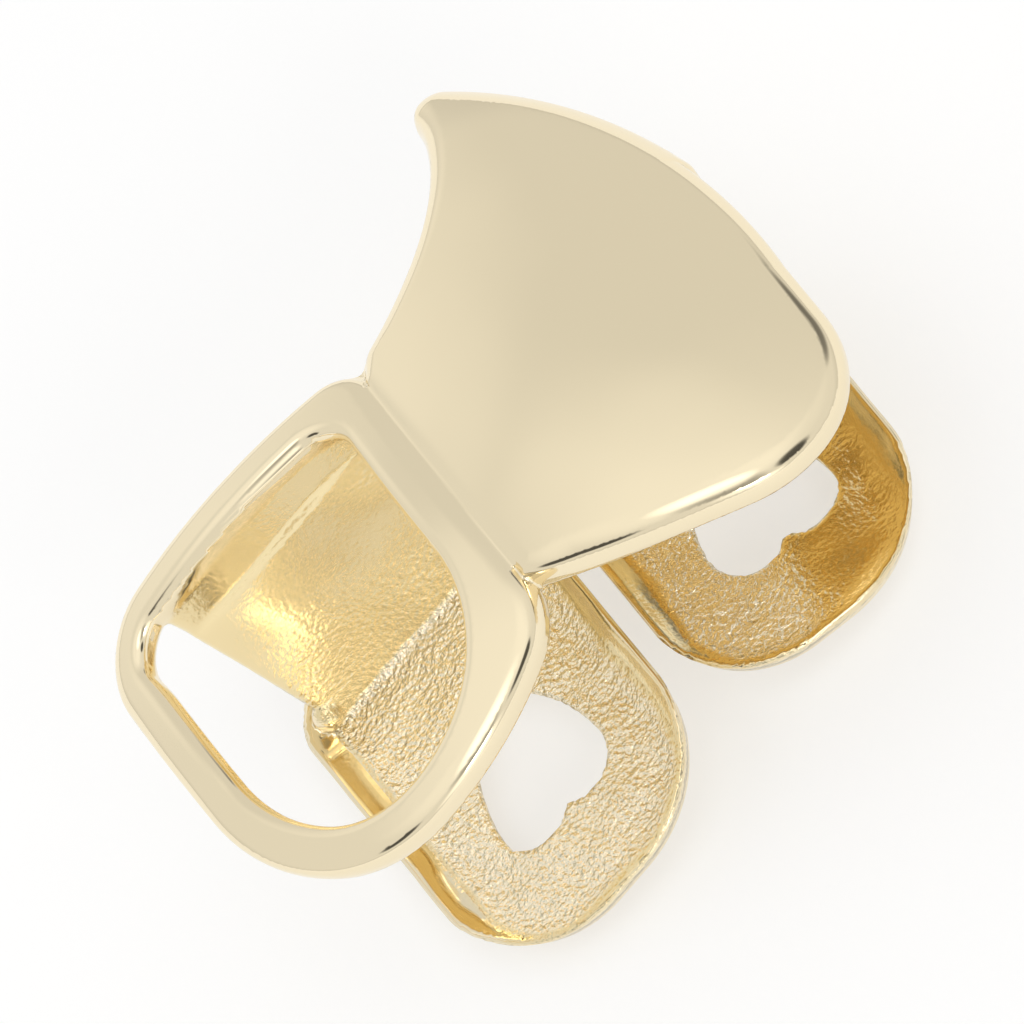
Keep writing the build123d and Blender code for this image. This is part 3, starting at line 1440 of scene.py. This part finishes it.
@dataclass(frozen=True)
class Softbox:
    """Large, soft light of the studio."""

    name: str
    place: Triple
    size: tuple[float, float]
    watts: float

    def build(self, target: Vector) -> bpy.types.Object:
        """Hangs the light, turned towards the piece.

        Args:
            target: Point that the light faces.

        Returns:
            The light.
        """
        data = bpy.data.lights.new(self.name, "AREA")
        data.shape = "RECTANGLE"
        data.size, data.size_y = self.size
        data.energy = self.watts
        lamp = placed(self.name, data)
        lamp.location = self.place
        lamp.rotation_euler = (target - lamp.location).to_track_quat("-Z", "Y").to_euler()
        return lamp


@dataclass(frozen=True)
class TentPatch:
    """Brighter or darker patch of the white tent round the piece."""

    towards: Triple
    inner: float
    outer: float
    change: float


@dataclass
class Tent:
    """White photographer's tent, drawn as the world's brightness in each direction."""

    level: float = 0.84
    tint: Colour = (1.0, 0.998, 0.99, 1.0)
    patches: tuple[TentPatch, ...] = (
        TentPatch((0.08, -0.06, 1.0), 22, 48, 0.17),
        TentPatch((0.62, 0.05, 0.80), 8, 36, 0.06),
        TentPatch((0.06, -0.62, 0.78), 6, 22, -0.5),
        TentPatch((0.07, -0.30, 0.95), 5, 20, 0.7),
        TentPatch((0.66, -0.52, 0.55), 8, 15, -0.75),
        TentPatch((-0.68, -0.52, 0.52), 8, 15, -0.75),
        TentPatch((0.80, 0.50, 0.26), 4, 12, -0.6),
        TentPatch((0.40, 0.80, 0.45), 12, 42, -0.07),
        TentPatch((0.0, 0.0, -1.0), 84, 102, -0.2),
        TentPatch((-0.20, 0.88, 0.35), 6, 30, 0.1),
        TentPatch((0.1, -0.95, 0.32), 8, 26, 0.5),
    )

    def build(self) -> bpy.types.World:
        """Makes the world.

        Returns:
            The world, set for the scene.
        """
        world = bpy.data.worlds.new("tent")
        world.use_nodes = True
        tree = world.node_tree
        direction = add_node(tree, "ShaderNodeTexCoord").outputs["Generated"]
        total = self.level
        for patch in self.patches:
            total = add_math(tree, "ADD", self.patch(tree, direction, patch), total)
        shade = tree.nodes["Background"]
        feed(tree, shade.inputs["Color"], self.tint)
        feed(tree, shade.inputs["Strength"], total)
        bpy.context.scene.world = world
        return world

    @staticmethod
    def patch(tree: Tree, direction: Socket, patch: TentPatch) -> Socket:
        """Brightness that one patch adds.

        Args:
            tree: Node tree of the world.
            direction: Direction that is looked in.
            patch: The patch.

        Returns:
            The brightness, 0 outside the patch.
        """
        middle = Vector(patch.towards).normalized()
        dot = add_node(tree, "ShaderNodeVectorMath", {0: direction, 1: middle}, operation="DOT_PRODUCT")
        inputs = {
            "Value": dot.outputs["Value"],
            "From Min": cos(radians(patch.outer)),
            "From Max": cos(radians(patch.inner)),
            "To Min": 0.0,
            "To Max": patch.change,
        }
        ramp = add_node(tree, "ShaderNodeMapRange", inputs, interpolation_type="SMOOTHSTEP")
        return ramp.outputs["Result"]


@dataclass
class Studio:
    """Pale floor, soft lights and the camera at the photograph's angle."""

    target: Triple = (0.0005, -0.0017, 0.0050)
    towards: Triple = (0.079, -0.630, 0.773)
    upwards: Triple = (0.682, 0.599, 0.420)
    lens: float = 1500.0
    sensor: float = 36.0
    frame_width: float = 0.0222
    floor_half: float = 1.5
    floor_tone: Colour = (0.5, 0.5, 0.5, 1.0)
    glow_tone: Colour = (1.0, 1.0, 1.0, 1.0)
    floor_rough: float = 0.7
    floor_glow: float = 0.52
    nearest: float = 0.02
    farthest: float = 20.0
    tent: Tent = field(default_factory=Tent)
    lights: tuple[Softbox, ...] = (Softbox("front", (0.06, -0.40, 0.24), (0.16, 0.12), 0.2),)

    def build(self) -> None:
        """Sets up the floor, the lights and the camera."""
        self.floor()
        self.tent.build()
        for light in self.lights:
            light.build(Vector(self.target))
        self.camera()
        bpy.context.scene.view_settings.view_transform = "Standard"

    def floor(self) -> bpy.types.Object:
        """Lays the floor.

        Returns:
            The floor.
        """
        reach = self.floor_half
        mesh = bpy.data.meshes.new("floor")
        corners = [(-reach, -reach, 0), (reach, -reach, 0), (reach, reach, 0), (-reach, reach, 0)]
        mesh.from_pydata(corners, [], [(0, 1, 2, 3)])
        finish = bpy.data.materials.new("pale_floor")
        finish.use_nodes = True
        shader = finish.node_tree.nodes["Principled BSDF"]
        for name, value in {
            "Base Color": self.floor_tone,
            "Roughness": self.floor_rough,
            "Emission Color": self.glow_tone,
            "Emission Strength": self.floor_glow,
        }.items():
            shader.inputs[name].default_value = value
        mesh.materials.append(finish)
        made = placed("floor", mesh)
        return made

    def camera(self) -> bpy.types.Object:
        """Sets the camera at the photograph's angle.

        Returns:
            The camera.
        """
        data = bpy.data.cameras.new("camera")
        data.lens, data.sensor_width = self.lens, self.sensor
        distance = self.frame_width * self.lens / self.sensor
        back, up = Vector(self.towards).normalized(), Vector(self.upwards)
        right = up.cross(back).normalized()
        up = back.cross(right)
        turn = Matrix((right, up, back)).transposed()
        made = placed("camera", data)
        made.rotation_euler = turn.to_euler()
        made.location = Vector(self.target) + back * distance
        data.clip_start, data.clip_end = distance * self.nearest, distance * self.farthest
        bpy.context.scene.camera = made
        return made


def main() -> None:
    """Builds the cover and its studio, and reports each piece."""
    logging.basicConfig(level=logging.INFO, format="%(name)s: %(message)s")
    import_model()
    piece = Cover(Casting(), CoverFinish(), CastSkin()).build()
    LOG.info("%s: %d faces", piece.name, len(piece.data.polygons))
    Studio().build()
    LOG.info("studio set")


if __name__ == "__main__":
    main()
